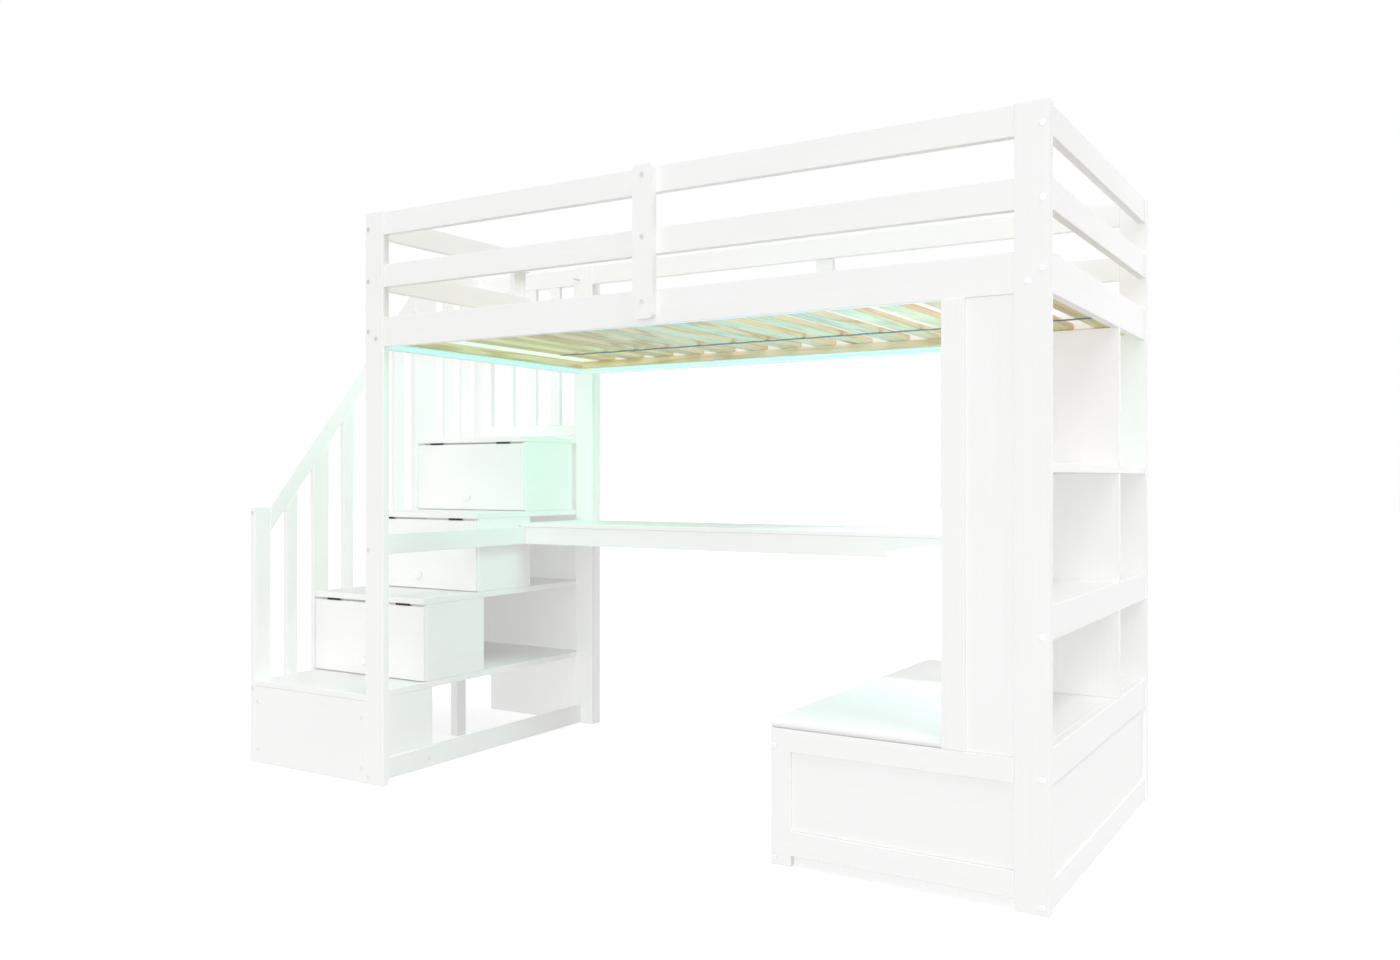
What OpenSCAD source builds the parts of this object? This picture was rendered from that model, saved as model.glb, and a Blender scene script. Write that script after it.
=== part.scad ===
// Twin loft bed with a desk under it, a bench and bookcase at one end and a
// storage stair at the other. Millimetres. The origin is on the floor in the
// middle of the footprint: +X runs along the bed towards the bookcase, +Y
// towards the back, +Z up. Boards are painted timber, the slats bare pine.

/* [Bed frame] */
// Length of the bed over its posts
bed_l = 2023; // [1700:1:2430]
// Width of the bed over its posts
bed_w = 1048; // [880:1:1260]
// Height of the posts
bed_h = 1700; // [1600:1:2040]
// Width of a corner post, along the bed
post_w = 75; // [60:1:95]
// Thickness of a corner post, across the bed
post_t = 25; // [22:1:32]
// Thickness of every rail and guard board
rail_t = 21; // [16:1:26]
// Height of a side rail
side_rail_h = 88; // [70:1:120]
// Height of a guard board
guard_h = 67; // [50:1:80]
// Clear height between guard boards
guard_gap = 88; // [60:1:110]
// How far the top guard sits below the post's top
guard_drop = 3; // [0:1:20]
// Height of the rail at the foot of the stair end
foot_rail_h = 62; // [40:1:90]
// Clearance under the foot rail
foot_rail_z = 4; // [2:1:30]

/* [Guard uprights] */
// Width of an upright that ties the guard boards
upright_w = 60; // [40:1:90]
// Thickness of an upright
upright_t = 20; // [16:1:28]
// Corner radius of an upright
upright_r = 12; // [4:1:18]
// Width of the way in from the stair
entry_w = 293; // [244:1:352]

/* [Mattress support] */
// Width of a slat
slat_w = 65; // [50:1:90]
// Thickness of a slat
slat_t = 18; // [12:1:25]
// Distance from one slat to the next
slat_pitch = 126; // [105:1:150]
// Depth of a slat ledger
ledger_w = 20; // [15:1:30]
// Height of a slat ledger
ledger_h = 24; // [18:1:40]
// Height of the ledger above the side rail's lower edge
ledger_lift = 19; // [14:1:35]
// Width of the webbing that joins the slats
ribbon_w = 25; // [15:1:35]
// Distance of the webbing from the bed's front and back
ribbon_in = 262; // [180:1:320]
// Width of the light strip
led_w = 10; // [8:1:12]

/* [Desk] */
// Height of the desk's surface
desk_z = 756; // [700:1:790]
// Thickness of the desk top
desk_t = 15; // [12:1:25]
// Depth of the desk top
desk_d = 348; // [300:1:450]
// Height of the apron under the desk top
apron_h = 59; // [40:1:90]

/* [Bench] */
// Length of the bench, bookcase included
bench_l = 654; // [545:1:780]
// Height of the seat
seat_z = 344; // [300:1:412]
// Thickness of the seat
seat_t = 22; // [18:1:30]
// Width of the stiles and rails around the panels
frame_w = 53; // [40:1:70]
// Height of the lower rails
low_rail_h = 58; // [40:1:80]
// Clearance under the bench's front and back
low_gap = 26; // [15:1:40]
// Thickness of the thin panels
panel_t = 6; // [4:1:9]

/* [Bookcase] */
// Depth of the bookcase, along the bed
case_d = 235; // [196:1:282]
// Thickness of its boards
case_t = 18; // [15:1:22]
// Height of the lower shelf's surface
shelf_1_z = 644; // [560:1:700]
// Height of the upper shelf's surface
shelf_2_z = 944; // [880:1:1050]
// Height of the apron in front of the lower shelf
shelf_apron_h = 74; // [50:1:90]
// Distance of the divider from the bed's front
divider_y = 680; // [500:1:760]

/* [Stair] */
// Width of the treads
tread_w = 505; // [420:1:600]
// Height of one step
rise = 265; // [220:1:318]
// Depth of one step
going = 240; // [200:1:288]
// Thickness of a tread
tread_t = 20; // [16:1:25]
// Depth of a step's box
box_d = 280; // [250:1:336]
// Thickness of the boxes' boards
box_t = 15; // [12:1:18]
// Clearance above and below a flap door
flap_gap = 6; // [5:1:8]
// Diameter of a knob
knob_d = 34; // [26:1:42]
// Height of a knob above the tread below
knob_up = 49; // [35:1:80]

/* [Stair railing] */
// Thickness of the railing's posts and handrail
railing_t = 25; // [20:1:30]
// Height of the post at the foot of the stair
newel_h = 818; // [700:1:950]
// Width of the post at the foot of the stair
newel_w = 60; // [45:1:75]
// Width of the handrail
handrail_w = 52; // [40:1:70]
// Width of a baluster beside the stair
baluster_w = 45; // [35:1:60]
// Thickness of a baluster
baluster_t = 18; // [14:1:22]
// Widest gap between balusters beside the landing
landing_gap = 55; // [40:1:75]
// Widest gap between balusters behind the landing
back_gap = 75; // [50:1:90]
// Width of the post beside the landing
landing_post_w = 108; // [80:1:130]
// Height of the rails around the landing
landing_rail_h = 64; // [50:1:80]

/* [Fasteners] */
// Diameter of a bolt's head
bolt_head_d = 14; // [10:1:17]
// Diameter of a bolt's shank
bolt_d = 6; // [5:1:8]

/* [Hidden] */
$fn = 48;

WHITE = "whitesmoke";
PINE = "burlywood";
STEEL = "silver";
LIGHT = "aquamarine";

fit = 0.5;               // clearance where one board fits past another
rail_in = post_t - rail_t;
stair_w = tread_w + railing_t;
upright_proud = upright_t - rail_in;
bolt_head_t = 1.8;

// Outer planes of the bed and the stair.
total_l = bed_l + stair_w;
total_d = bolt_head_t + upright_proud + bed_w + railing_t;
xr = total_l / 2;
xl = xr - bed_l;
xs = xl - tread_w;
x_out = -total_l / 2;
yf = bolt_head_t + upright_proud - total_d / 2;
yb = yf + bed_w;
y_out = total_d / 2;

// Heights of the bed's boards.
top_guard_z = bed_h - guard_drop - guard_h;
mid_guard_z = top_guard_z - guard_gap - guard_h;
side_z = mid_guard_z - guard_gap - side_rail_h;
ledger_z = side_z + ledger_lift;
slat_z = ledger_z + ledger_h;
upright_z = side_z + 13;
low_top_h = 78;

// Faces of the end boards, and the middle planes of their bolts.
end_r = xr - rail_in;
end_l = xl + rail_in;
bolt_r = end_r - rail_t / 2;
bolt_l = end_l + rail_t / 2;

// The centre uprights and the upright beside the stair's way in.
upright_x = (xl + xr) / 2;
entry_y = yb - post_t - entry_w;

slat_len_gap = 3;
slat_n = floor((bed_l - 2 * post_w - slat_w) / slat_pitch) + 1;
ribbon_t = 1;
led_t = 2;

// The bookcase and the bench.
case_x = xr - case_d;
bench_x = xr - bench_l;
panel_in = 6;            // how far a panel sits behind its frame
case_back_x = case_x + panel_t;
div_y = yf + divider_y;
bearer_t = case_t;

// The desk runs from the stair's end of the bed to the bookcase.
desk_y = yb - desk_d;
apron_t = 18;
desk_lip = 4;
desk_under = desk_z - desk_t;

// The steps: box k stands between deck k - 1 and deck k.
steps = 4;
function step_y(k) = yf + (k - 1) * going;
function deck_z(k) = k * rise - tread_t;
hinge_r = 2.7;
hinge_l = 60;
hinge_in = 92;           // from the side of the stair to a hinge's middle
leaf_t = 1;
leaf_w = 14;
pin_r = 1.2;
pin_play = 0.1;
flap_side_gap = 1;
function hinge_z(k) = deck_z(k) - flap_gap / 2;
hinge_xs = [xs + hinge_in, xl - hinge_in];

// The railing beside the stair, and around the landing.
newel_y = yf;
landing_y = yf + 705;
rail_top = bed_h;
slope = (rail_top - 13 - newel_h) / (landing_y + 50 - newel_y - newel_w);
rail_drop = handrail_w * sqrt(1 + slope * slope);
function rail_line(y) = newel_h + slope * (y - newel_y - newel_w);
baluster_pitch = 119.6;
baluster_y = yf + 124;
baluster_n = 5;
baluster_drop = 140;     // how far a baluster runs down below the deck
mid_post_w = 64;
low_landing_z = steps * rise + 10;
low_landing_h = 42;
corner_post_w = 86;
end_post_w = 104;
back_x0 = x_out + corner_post_w;
back_x1 = xl + post_w - end_post_w;

// Heights of the bolts, and how far in from the bed's ends the ledgers' bolts are.
bolt_play = 0.3;
bolt_len = 60;
ledger_bolt_in = 46;
ledger_bolt_z = ledger_z + 6;
ledger_bolt_xs = [xl + ledger_bolt_in, xr - ledger_bolt_in];
end_bolt_l = [top_guard_z + 20, mid_guard_z + 20, side_z + 47, desk_under - apron_h + 15,
              foot_rail_z + 16];
end_bolt_r = [top_guard_z + 20, mid_guard_z + 20, side_z + 50, shelf_1_z - shelf_apron_h + 11,
              seat_z - low_top_h + 19, foot_rail_z + 16];
upright_bolt_z = [top_guard_z + 44, mid_guard_z + 43, side_z + 56];
bench_bolt_z = [seat_z - seat_t - 40, 18];
step_screw_z = [deck_z(1) - 50, 44];
newel_screw_z = [newel_h - 19, 234];

module slab(x0, x1, y0, y1, z0, z1) {
    translate([x0, y0, z0]) cube([x1 - x0, y1 - y0, z1 - z0]);
}

// A cylinder along Y from y to y + len.
module rod_y(x, y, z, r, len) {
    translate([x, y, z]) rotate([-90, 0, 0]) cylinder(r = r, h = len);
}

// A cylinder along X, centred on x.
module rod_x(x, y, z, r, len) {
    translate([x - len / 2, y, z]) rotate([0, 90, 0]) cylinder(r = r, h = len);
}

// A rectangle with round corners, as an outline.
module round_rect(w, h, r) {
    translate([r, 0]) square([w - 2 * r, h]);
    translate([0, r]) square([w, h - 2 * r]);
    for (x = [r, w - r], y = [r, h - r]) translate([x, y]) circle(r = r);
}

// The bolts' shanks grown by play. Heads are added by bolts().
module shanks(play) {
    r = bolt_d / 2 + play;
    len = bolt_len + play;
    for (z = end_bolt_l) {
        rod_y(bolt_l, yf - fit, z, r, len);
        rod_y(bolt_l, yb - len, z, r, len);
    }
    for (z = end_bolt_r) {
        rod_y(bolt_r, yf - fit, z, r, len);
        rod_y(bolt_r, yb - len + fit, z, r, len);
    }
}

module upright_shanks(play) {
    r = bolt_d / 2 + play;
    len = upright_t + rail_t - 2 + play;
    for (z = upright_bolt_z) {
        rod_y(upright_x, yf - upright_proud - fit, z, r, len);
        rod_y(upright_x, yb + upright_proud - len + fit, z, r, len);
    }
}

module bench_shanks(play) {
    for (z = bench_bolt_z) {
        rod_y(bench_x + case_t / 2, yf - fit, z, bolt_d / 2 + play, bolt_len - 20 + play);
        rod_y(bench_x + case_t / 2, yb - bolt_len + 20 - play + fit, z, bolt_d / 2 + play,
              bolt_len - 20 + play);
    }
}

module ledger_shanks(play) {
    len = bolt_len - 20 + play;
    for (x = ledger_bolt_xs) {
        rod_y(x, yf - fit, ledger_bolt_z, bolt_d / 2 + play, len);
        rod_y(x, yb - len, ledger_bolt_z, bolt_d / 2 + play, len);
    }
}

// The heads that the stair's end post covers are let into the back left post.
module sunk_heads(play) {
    places = concat([for (z = end_bolt_l) [bolt_l, z]], [[ledger_bolt_xs[0], ledger_bolt_z]]);
    for (p = places)
        rod_y(p[0], yb - bolt_head_t, p[1], bolt_head_d / 2 + play, bolt_head_t + play);
}

module all_shanks(play) {
    shanks(play);
    upright_shanks(play);
    bench_shanks(play);
    ledger_shanks(play);
    sunk_heads(play);
}

module drilled() {
    difference() {
        children();
        all_shanks(bolt_play);
    }
}

// ---- Bed frame ----

module post(x, y) {
    color(WHITE) drilled() slab(x, x + post_w, y, y + post_t, 0, bed_h);
}

module post_front_left() { post(xl, yf); }
module post_front_right() { post(xr - post_w, yf); }
module post_back_left() { post(xl, yb - post_t); }
module post_back_right() { post(xr - post_w, yb - post_t); }

// A board between two posts, along the bed.
module long_board(y, z, h) {
    slab(xl + post_w, xr - post_w, y, y + rail_t, z, z + h);
}

module side_rail_front() { color(WHITE) drilled() long_board(yf + rail_in, side_z, side_rail_h); }
module side_rail_back() { color(WHITE) drilled() long_board(yb - post_t, side_z, side_rail_h); }

module guards_front() {
    color(WHITE) drilled() for (z = [top_guard_z, mid_guard_z]) long_board(yf + rail_in, z, guard_h);
}

module guards_back() {
    color(WHITE) drilled() for (z = [top_guard_z, mid_guard_z]) long_board(yb - post_t, z, guard_h);
}

// A board between the front and back posts, across the bed.
module cross_board(x, z, h, y1) {
    slab(x, x + rail_t, yf + post_t, y1, z, z + h);
}

module side_rail_left() { color(WHITE) drilled() cross_board(end_l, side_z, side_rail_h, yb - post_t); }

module side_rail_right() {
    color(WHITE) drilled() cross_board(end_r - rail_t, side_z, side_rail_h, yb - post_t);
}

module guards_left() {
    color(WHITE) drilled() for (z = [top_guard_z, mid_guard_z]) cross_board(end_l, z, guard_h, entry_y);
}

module guards_right() {
    color(WHITE) drilled() for (z = [top_guard_z, mid_guard_z])
        cross_board(end_r - rail_t, z, guard_h, yb - post_t);
}

module upright_board() {
    linear_extrude(upright_t) round_rect(upright_w, bed_h - upright_z, upright_r);
}

module guard_uprights() {
    color(WHITE) drilled() {
        for (y = [yf + rail_in, yb + upright_proud])
            translate([upright_x - upright_w / 2, y, upright_z]) rotate([90, 0, 0]) upright_board();
        translate([end_l - upright_t, entry_y - upright_w, upright_z])
            rotate([90, 0, 90]) upright_board();
    }
}

module foot_rail_left() {
    color(WHITE) drilled() cross_board(end_l, foot_rail_z, foot_rail_h, yb - post_t);
}

// ---- Mattress support ----

module slat_ledgers() {
    x0 = end_l + rail_t;
    x1 = end_r - rail_t;
    z1 = ledger_z + ledger_h;
    color(PINE) drilled() {
        slab(x0, x1, yf + post_t, yf + post_t + ledger_w, ledger_z, z1);
        slab(x0, x1, yb - post_t - ledger_w, yb - post_t, ledger_z, z1);
        slab(x0, x0 + ledger_w, yf + post_t + ledger_w, yb - post_t - ledger_w, ledger_z, z1);
        slab(x1 - ledger_w, x1, yf + post_t + ledger_w, yb - post_t - ledger_w, ledger_z, z1);
    }
}

module slats() {
    color(PINE) for (i = [0:slat_n - 1]) {
        x1 = xr - post_w - i * slat_pitch;
        slab(x1 - slat_w, x1, yf + post_t + slat_len_gap, yb - post_t - slat_len_gap,
             slat_z, slat_z + slat_t);
    }
}

module slat_webbing() {
    x1 = xr - post_w - 2;
    x0 = xr - post_w - (slat_n - 1) * slat_pitch - slat_w + 2;
    color("dimgray") for (y = [yf + ribbon_in, yb - ribbon_in])
        slab(x0, x1, y - ribbon_w / 2, y + ribbon_w / 2, slat_z - ribbon_t, slat_z);
}

module light_strips() {
    z0 = side_z + (ledger_lift - led_w) / 2;
    color(LIGHT) {
        slab(xl + post_w, xr - post_w, yf + post_t, yf + post_t + led_t, z0, z0 + led_w);
        slab(xl + post_w, xr - post_w, yb - post_t - led_t, yb - post_t, z0, z0 + led_w);
        slab(end_l + rail_t, end_l + rail_t + led_t, yf + post_t + led_t, yb - post_t - led_t,
             z0, z0 + led_w);
    }
}

// ---- Desk ----

module desk_top() {
    color(WHITE) difference() {
        slab(end_l, case_x, desk_y, yb, desk_under, desk_z);
        slab(end_l - 1, xl + post_w + fit, yb - post_t - fit, yb + 1, desk_under - 1, desk_z + 1);
    }
}

module desk_rail_left() {
    color(WHITE) drilled() cross_board(end_l, desk_under - apron_h, apron_h, yb - post_t);
}

module desk_aprons() {
    x0 = end_l + rail_t;
    color(WHITE) {
        slab(x0, case_x, desk_y + desk_lip, desk_y + desk_lip + apron_t, desk_under - apron_h, desk_under);
        slab(xl + post_w, case_x, yb - apron_t, yb, desk_under - apron_h, desk_under);
    }
}

module desk_cleat() {
    color(WHITE) slab(case_x - 20, case_x, desk_y + desk_lip + apron_t + fit, yb - apron_t - fit,
                      desk_under - 40, desk_under);
}

// ---- Bench ----

module bench_seat() {
    r = seat_t / 2;
    color(WHITE) {
        slab(bench_x, case_x, yf + r, yb, seat_z - seat_t, seat_z);
        rod_x((bench_x + case_x) / 2, yf + r, seat_z - r, r, case_x - bench_x);
    }
}

// The stile and the two rails of one long side; y is their outer plane's low side.
module bench_frame(y) {
    top = seat_z - seat_t;
    drilled() {
        slab(bench_x, bench_x + frame_w, y, y + case_t, 0, top);
        slab(bench_x + frame_w, xr - post_w, y, y + case_t, top - frame_w, top);
        slab(bench_x + frame_w, xr - post_w, y, y + case_t, low_gap, low_gap + low_rail_h);
    }
}

module bench_front_frame() { color(WHITE) bench_frame(yf); }
module bench_back_frame() { color(WHITE) bench_frame(yb - case_t); }

module bench_panels() {
    color(WHITE) for (y = [yf + panel_in, yb - panel_in - panel_t])
        slab(bench_x + frame_w, xr - post_w, y, y + panel_t, low_gap + low_rail_h,
             seat_z - seat_t - frame_w);
}

module bench_side() {
    color(WHITE) drilled() slab(bench_x, bench_x + case_t, yf + case_t, yb - case_t, foot_rail_z,
                                seat_z - seat_t);
}

module bench_bearer() {
    color(WHITE) slab(case_x - bearer_t / 2, case_x + bearer_t / 2, yf + case_t, yb - case_t,
                      seat_z - seat_t - 70, seat_z - seat_t);
}

module end_low_rails() {
    color(WHITE) drilled() {
        cross_board(end_r - rail_t, seat_z - low_top_h, low_top_h, yb - post_t);
        cross_board(end_r - rail_t, foot_rail_z, foot_rail_h, yb - post_t);
    }
}

module end_low_panel() {
    color(WHITE) slab(end_r - panel_in - panel_t, end_r - panel_in, yf + post_t, yb - post_t,
                      foot_rail_z + foot_rail_h, seat_z - low_top_h);
}

// ---- Bookcase ----

// A board across the bookcase, cut around the two posts.
module case_board(x1, y0, y1, z0, z1) {
    difference() {
        slab(case_back_x, x1, y0, y1, z0, z1);
        for (y = [yf - 1, yb - post_t - fit])
            slab(xr - post_w - fit, xr + 1, y, y + post_t + fit + 1, z0 - 1, z1 + 1);
    }
}

module case_bottom() {
    color(WHITE) case_board(end_r - rail_t, yf + case_t, yb - case_t, seat_z - seat_t, seat_z);
}

module case_stiles() {
    color(WHITE) for (y = [yf, yb - case_t])
        slab(case_x, case_x + frame_w, y, y + case_t, seat_z - seat_t, side_z);
}

module case_side_panels() {
    color(WHITE) for (y = [yf + panel_in, yb - panel_in - panel_t])
        slab(case_x + frame_w, xr - post_w, y, y + panel_t, seat_z - seat_t, side_z);
}

module case_back() {
    color(WHITE) slab(case_x, case_back_x, yf + case_t, yb - case_t, seat_z - seat_t, side_z);
}

module case_divider() {
    color(WHITE) {
        slab(case_back_x, end_r, div_y, div_y + case_t, seat_z, shelf_2_z - rail_t);
        slab(case_back_x, end_r, div_y, div_y + case_t, shelf_2_z, side_z);
    }
}

module case_shelf_lower() {
    z0 = shelf_1_z - case_t;
    color(WHITE) {
        case_board(end_r - rail_t, yf + case_t, div_y, z0, shelf_1_z);
        case_board(end_r - rail_t, div_y + case_t, yb - case_t, z0, shelf_1_z);
    }
}

module case_shelf_upper() {
    color(WHITE) case_board(end_r, yf + case_t, yb - case_t, shelf_2_z - rail_t, shelf_2_z);
}

module case_shelf_aprons() {
    z0 = shelf_1_z - shelf_apron_h;
    color(WHITE) drilled() {
        slab(end_r - rail_t, end_r, yf + post_t, div_y, z0, shelf_1_z);
        slab(end_r - rail_t, end_r, div_y + case_t, yb - post_t, z0, shelf_1_z);
    }
}

// ---- Stair ----

module step_decks() {
    color(WHITE) for (k = [1:steps]) slab(xs, xl, step_y(k), yb, deck_z(k), deck_z(k) + tread_t);
}

module step_front() {
    color(WHITE) slab(xs, xl, yf, yf + box_t, 0, deck_z(1));
}

// The closed side of each box, towards the desk.
module step_sides_right() {
    color(WHITE) for (k = [1:steps])
        slab(xl - box_t, xl, step_y(k) + box_t + fit, min(step_y(k) + box_d, yb),
             k == 1 ? 0 : deck_z(k - 1) + tread_t, deck_z(k));
}

// The far side: the lowest box is as deep as the others, and above it the side is closed to the back.
module step_sides_left() {
    color(WHITE) for (k = [1:steps])
        slab(xs, xs + box_t, step_y(k) + box_t + fit, k == 1 ? min(step_y(k) + box_d, yb) : yb,
             k == 1 ? 0 : deck_z(k - 1) + tread_t, deck_z(k));
}

module step_backs() {
    color(WHITE) for (k = [2:steps]) {
        y1 = min(step_y(k) + box_d, yb);
        slab(xs + box_t, xl - box_t, y1 - box_t, y1, deck_z(k - 1) + tread_t, deck_z(k));
    }
}

module tower_back() {
    color(WHITE) slab(back_x0, back_x1, yb, yb + box_t, 0, steps * rise);
}

module tower_leg() {
    mid = (xs + xl) / 2;
    color(WHITE) slab(mid + 14, mid + 44, yf + 610, yf + 656, 0, deck_z(1));
}

// ---- Flap doors ----

module flap(k) {
    z0 = deck_z(k - 1) + tread_t + flap_gap / 2;
    color(WHITE) slab(xs + flap_side_gap, xl - flap_side_gap, step_y(k), step_y(k) + box_t, z0,
                      deck_z(k) - flap_gap);
}

// A turned knob: a narrow neck that widens to a flat-topped mushroom head.
module knob(k) {
    r = knob_d / 2;
    z = deck_z(k - 1) + tread_t + knob_up;
    color(WHITE) translate([(xs + xl) / 2, step_y(k), z]) rotate([90, 0, 0]) rotate_extrude()
        polygon([[0, 0], [r * 0.55, 0], [r * 0.5, r * 0.5], [r * 0.8, r * 0.8], [r, r * 1.05],
                 [r * 0.95, r * 1.35], [r * 0.7, r * 1.55], [0, r * 1.65]]);
}

// A leaf with its knuckles: odd knuckles are the flap's, even ones the tread's.
module leaf(x, k, moving) {
    n = 5;
    seg = hinge_l / n;
    y = step_y(k);
    z = hinge_z(k);
    lz = moving ? deck_z(k) - flap_gap : deck_z(k) - leaf_t;
    for (i = [0:n - 1]) if ((i % 2 == 0) != moving) {
        x0 = x - hinge_l / 2 + i * seg + 0.15;
        difference() {
            union() {
                rod_x(x0 + seg / 2 - 0.15, y, z, hinge_r, seg - 0.3);
                slab(x0, x0 + seg - 0.3, y, y + hinge_r + 1.5, lz, lz + leaf_t);
            }
            if (moving) rod_x(x, y, z, pin_r + pin_play, hinge_l + 1);
        }
    }
    slab(x - hinge_l / 2, x + hinge_l / 2, y + hinge_r + 0.6, y + leaf_w, lz, lz + leaf_t);
    if (!moving) rod_x(x, y, z, pin_r, hinge_l - 0.3);
}

module flap_leaves(k) {
    color(STEEL) for (x = hinge_xs) leaf(x, k, true);
}

module tread_leaves() {
    color(STEEL) for (k = [2:steps], x = hinge_xs) leaf(x, k, false);
}

// ---- Stair railing ----

// An outline in Y and Z, extruded along X from x to x + t.
module yz_plate(x, t) {
    translate([x, 0, 0]) rotate([90, 0, 90]) linear_extrude(t) children();
}

module newel_posts() {
    y1 = landing_y + landing_post_w;
    color(WHITE) {
        slab(x_out, xs, newel_y, newel_y + newel_w, 0, newel_h);
        yz_plate(x_out, railing_t) polygon([
            [landing_y, deck_z(1)], [y1, deck_z(1)], [y1, rail_top],
            [landing_y + (rail_top - rail_line(landing_y)) / slope, rail_top],
            [landing_y, rail_line(landing_y)]
        ]);
        slab(x_out, back_x0, yb, y_out, deck_z(1), rail_top);
        slab(back_x1, xl + post_w, yb, y_out, 0, rail_top);
    }
}

module handrail() {
    y0 = newel_y + newel_w;
    color(WHITE) yz_plate(x_out, railing_t) polygon([
        [y0, rail_line(y0) - rail_drop], [landing_y, rail_line(landing_y) - rail_drop],
        [landing_y, rail_line(landing_y)], [y0, rail_line(y0)]
    ]);
}

// The deck's height beside y.
function deck_at(y) = max([for (k = [1:steps]) y >= step_y(k) ? k * rise : 0]);

// How many balusters leave no gap wider than the given one across a room.
function railing_n(room, gap) = max(1, ceil((room - gap) / (baluster_w + gap)));

// The wider second baluster is a post that ends level with the lowest tread's underside.
module balusters() {
    bx = xs - baluster_t;
    rail_under = rail_top - landing_rail_h;
    y0 = landing_y + landing_post_w;
    side_n = railing_n(yb - y0, landing_gap);
    side_step = (yb - y0 + baluster_w) / (side_n + 1);
    back_n = railing_n(back_x1 - back_x0, back_gap);
    back_step = (back_x1 - back_x0 + baluster_w) / (back_n + 1);
    color(WHITE) {
        for (i = [0:baluster_n - 1]) {
            w = i == 1 ? mid_post_w : baluster_w;
            ya = baluster_y + i * baluster_pitch - (w - baluster_w) / 2;
            za = i == 1 ? deck_z(1) : max(deck_at(ya) - baluster_drop, 0);
            yz_plate(bx, baluster_t) polygon([
                [ya, za], [ya + w, za], [ya + w, rail_line(ya + w) - rail_drop],
                [ya, rail_line(ya) - rail_drop]
            ]);
        }
        for (i = [1:side_n]) {
            ya = y0 - baluster_w + i * side_step;
            slab(bx, xs, ya, ya + baluster_w, steps * rise - baluster_drop, rail_under);
        }
        for (i = [1:back_n]) {
            xa = back_x0 - baluster_w + i * back_step;
            slab(xa, xa + baluster_w, yb, yb + baluster_t, low_landing_z + low_landing_h, rail_under);
        }
    }
}

module landing_rails() {
    z0 = rail_top - landing_rail_h;
    color(WHITE) {
        slab(x_out, xs, landing_y + landing_post_w, yb, z0, rail_top);
        slab(back_x0, back_x1, yb, y_out, z0, rail_top);
        slab(back_x0, back_x1, yb, y_out, low_landing_z, low_landing_z + low_landing_h);
    }
}

// ---- Fasteners ----

// A flat head on a face across Y; side is -1 for a front face and 1 for a back one.
module head(x, y, z, side) {
    rod_y(x, side < 0 ? y - bolt_head_t : y, z, bolt_head_d / 2, bolt_head_t);
}

module bolts() {
    color(STEEL) {
        all_shanks(0);
        for (z = end_bolt_l) head(bolt_l, yf, z, -1);
        for (z = end_bolt_r) {
            head(bolt_r, yf, z, -1);
            head(bolt_r, yb, z, 1);
        }
        for (z = upright_bolt_z) {
            head(upright_x, yf - upright_proud, z, -1);
            head(upright_x, yb + upright_proud, z, 1);
        }
        for (z = bench_bolt_z) {
            head(bench_x + case_t / 2, yf, z, -1);
            head(bench_x + case_t / 2, yb, z, 1);
        }
        for (x = ledger_bolt_xs) head(x, yf, ledger_bolt_z, -1);
        head(ledger_bolt_xs[1], yb, ledger_bolt_z, 1);
        for (x = [xs + box_t, xl - box_t], z = step_screw_z) head(x, yf, z, -1);
        for (z = newel_screw_z) head((x_out + xs) / 2, newel_y, z, -1);
        rod_x(end_l + rail_t + bolt_head_t / 2, yf + going, foot_rail_z + foot_rail_h / 2 - 4,
              bolt_head_d / 2, bolt_head_t);
    }
}

post_front_left();
post_front_right();
post_back_left();
post_back_right();
side_rail_front();
side_rail_back();
side_rail_left();
side_rail_right();
guards_front();
guards_back();
guards_left();
guards_right();
guard_uprights();
foot_rail_left();
slat_ledgers();
slats();
slat_webbing();
light_strips();
desk_top();
desk_rail_left();
desk_aprons();
desk_cleat();
bench_seat();
bench_front_frame();
bench_back_frame();
bench_panels();
bench_side();
bench_bearer();
end_low_rails();
end_low_panel();
case_bottom();
case_stiles();
case_side_panels();
case_back();
case_divider();
case_shelf_lower();
case_shelf_upper();
case_shelf_aprons();
step_decks();
step_front();
step_sides_right();
step_sides_left();
step_backs();
tower_back();
tower_leg();
flap(2);  // flap_2
flap(3);  // flap_3
flap(4);  // flap_4
knob(2);  // knob_2
knob(3);  // knob_3
knob(4);  // knob_4
flap_leaves(2);  // flap_leaves_2
flap_leaves(3);  // flap_leaves_3
flap_leaves(4);  // flap_leaves_4
tread_leaves();
newel_posts();
handrail();
balusters();
landing_rails();
bolts();
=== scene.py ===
"""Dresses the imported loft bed: eased and painted boards, pine slats, turned knobs, bolts and a lit strip."""
import logging
import math
from dataclasses import dataclass
from enum import Enum
from typing import Callable, Iterable, Optional, Sequence, Union

import bmesh
import bpy
from mathutils import Matrix, Vector


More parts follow.
